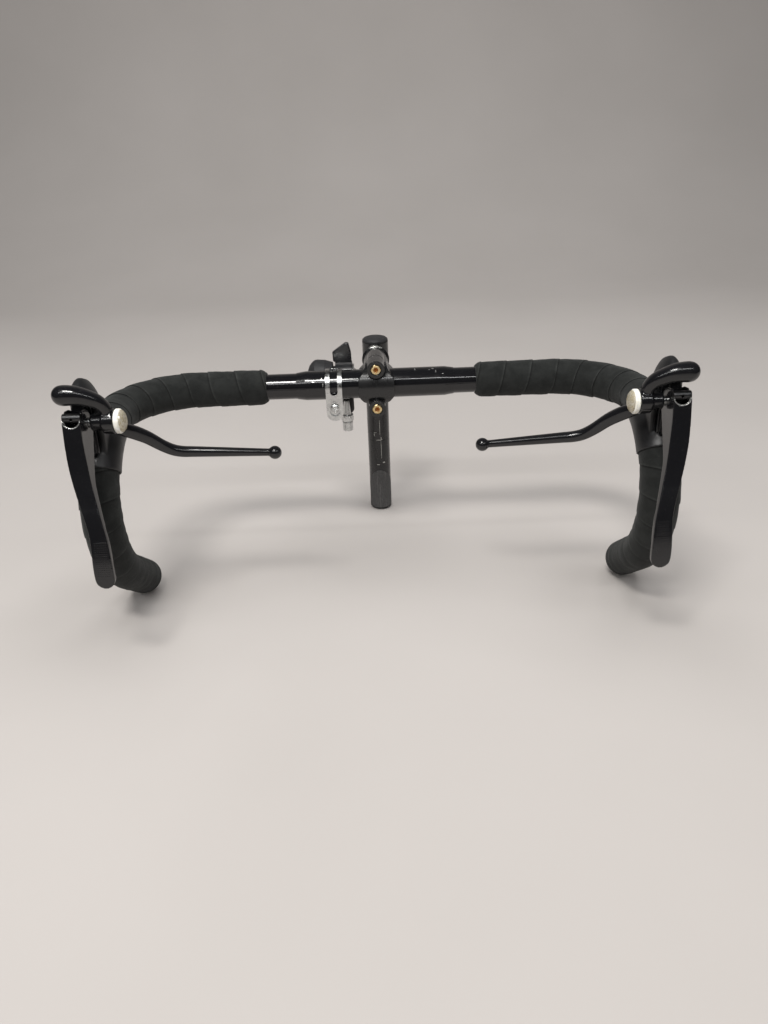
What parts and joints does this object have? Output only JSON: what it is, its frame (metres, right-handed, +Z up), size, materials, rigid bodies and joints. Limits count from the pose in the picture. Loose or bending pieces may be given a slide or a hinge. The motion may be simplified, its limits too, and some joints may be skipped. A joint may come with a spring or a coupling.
{
  "type": "drop handlebar",
  "caption": "Drop handlebar on a quill stem, wrapped in black tape, with brake levers, inward extension levers and a clamp-on gear shifter.",
  "frame": {"origin": "on the quill's axis at its minimum-insertion line, 65 mm above the lowest point", "axes": "+Z up along the quill, +X along the bar's straight top, -Y forward towards the brake levers"},
  "size_m": [0.4636, 0.2806, 0.2175],
  "materials": {
    "gloss_black_paint": "gloss paint with fine silver scratches",
    "stem_black_paint": "semi-gloss paint, worn at the bead and the quill",
    "lever_black_paint": "gloss paint over a forged surface",
    "black_bar_tape": "matte suede-like tape, overlapping wraps",
    "gloss_black_plastic": "gloss moulded",
    "matte_dark_plastic": "matte, slightly faded",
    "black_rubber": "matte moulded rubber",
    "zinc_steel": "bright zinc plate, slightly dulled",
    "gold_bolt": "gold-coloured plating, browned in the socket",
    "matte_grey_metal": "matte dark grey",
    "white_nylon": "off-white nylon",
    "stained_steel": "dull, with brown stains"
  },
  "bodies": {
    "bar_and_stem": {"handlebar_tube": "gloss_black_paint", "centre_sleeve": "gloss_black_paint", "stem_body": "stem_black_paint", "stem_faceplate": "stem_black_paint", "stem_cap": "matte_dark_plastic", "faceplate_bolt_upper": "gold_bolt", "faceplate_bolt_lower": "gold_bolt", "expander_bolt": "zinc_steel", "expander_wedge": "matte_grey_metal", "shifter_clamp_band": "zinc_steel", "shifter_clamp_screw": "zinc_steel", "shifter_clamp_nut": "zinc_steel", "shifter_housing": "matte_dark_plastic", "shifter_cover": "matte_dark_plastic", "shifter_pivot_screw": "zinc_steel", "shifter_cable_stop": "zinc_steel", "adjuster_lock_nut": "zinc_steel", "bar_tape_left": "black_bar_tape", "bar_end_plug_left": "gloss_black_plastic", "lever_body_left": "lever_black_paint", "lever_hood_left": "black_rubber", "lever_clamp_band_left": "zinc_steel", "lever_clamp_bolt_left": "zinc_steel", "pivot_pin_left": "zinc_steel", "pivot_washer_left": "white_nylon", "pivot_cap_left": "stained_steel", "bar_tape_right": "black_bar_tape", "bar_end_plug_right": "gloss_black_plastic", "lever_body_right": "lever_black_paint", "lever_hood_right": "black_rubber", "lever_clamp_band_right": "zinc_steel", "lever_clamp_bolt_right": "zinc_steel", "pivot_pin_right": "zinc_steel", "pivot_washer_right": "white_nylon", "pivot_cap_right": "stained_steel"},
    "blade_left": {"brake_blade_left": "lever_black_paint", "cable_anchor_left": "zinc_steel"},
    "extension_left": {"extension_lever_left": "lever_black_paint"},
    "blade_right": {"brake_blade_right": "lever_black_paint", "cable_anchor_right": "zinc_steel"},
    "extension_right": {"extension_lever_right": "lever_black_paint"},
    "shift_lever": {"shifter_lever": "gloss_black_plastic"},
    "cable_barrel": {"barrel_adjuster": "zinc_steel"}
  },
  "joints": [
    {"name": "brake_left", "type": "hinge", "parent": "bar_and_stem", "child": "blade_left", "pos_m": [-0.215, -0.2155, 0.12223], "axis": [1, 0, 0], "range_deg": [0, 17], "stiffness_Nm_per_rad": 0.25, "springref_deg": -17.19},
    {"name": "extension_left_turn", "type": "hinge", "parent": "bar_and_stem", "child": "extension_left", "pos_m": [-0.215, -0.2155, 0.12223], "axis": [1, 0, 0], "range_deg": [0, 17]},
    {"name": "brake_right", "type": "hinge", "parent": "bar_and_stem", "child": "blade_right", "pos_m": [0.215, -0.2155, 0.12223], "axis": [1, 0, 0], "range_deg": [0, 17], "stiffness_Nm_per_rad": 0.25, "springref_deg": -17.19},
    {"name": "extension_right_turn", "type": "hinge", "parent": "bar_and_stem", "child": "extension_right", "pos_m": [0.215, -0.2155, 0.12223], "axis": [1, 0, 0], "range_deg": [0, 17]},
    {"name": "shift_lever_turn", "type": "hinge", "parent": "bar_and_stem", "child": "shift_lever", "pos_m": [-0.03, -0.0564, 0.10023], "axis": [1, 0, 0], "range_deg": [-55, 50]},
    {"name": "cable_barrel_turn", "type": "hinge", "parent": "bar_and_stem", "child": "cable_barrel", "pos_m": [-0.0275, -0.08, 0.06223], "axis": [0, 0, 1], "continuous": true}
  ],
  "couplings": [
    {"joint": "extension_left_turn", "follows": "brake_left", "ratio": 1},
    {"joint": "extension_right_turn", "follows": "brake_right", "ratio": 1}
  ]
}
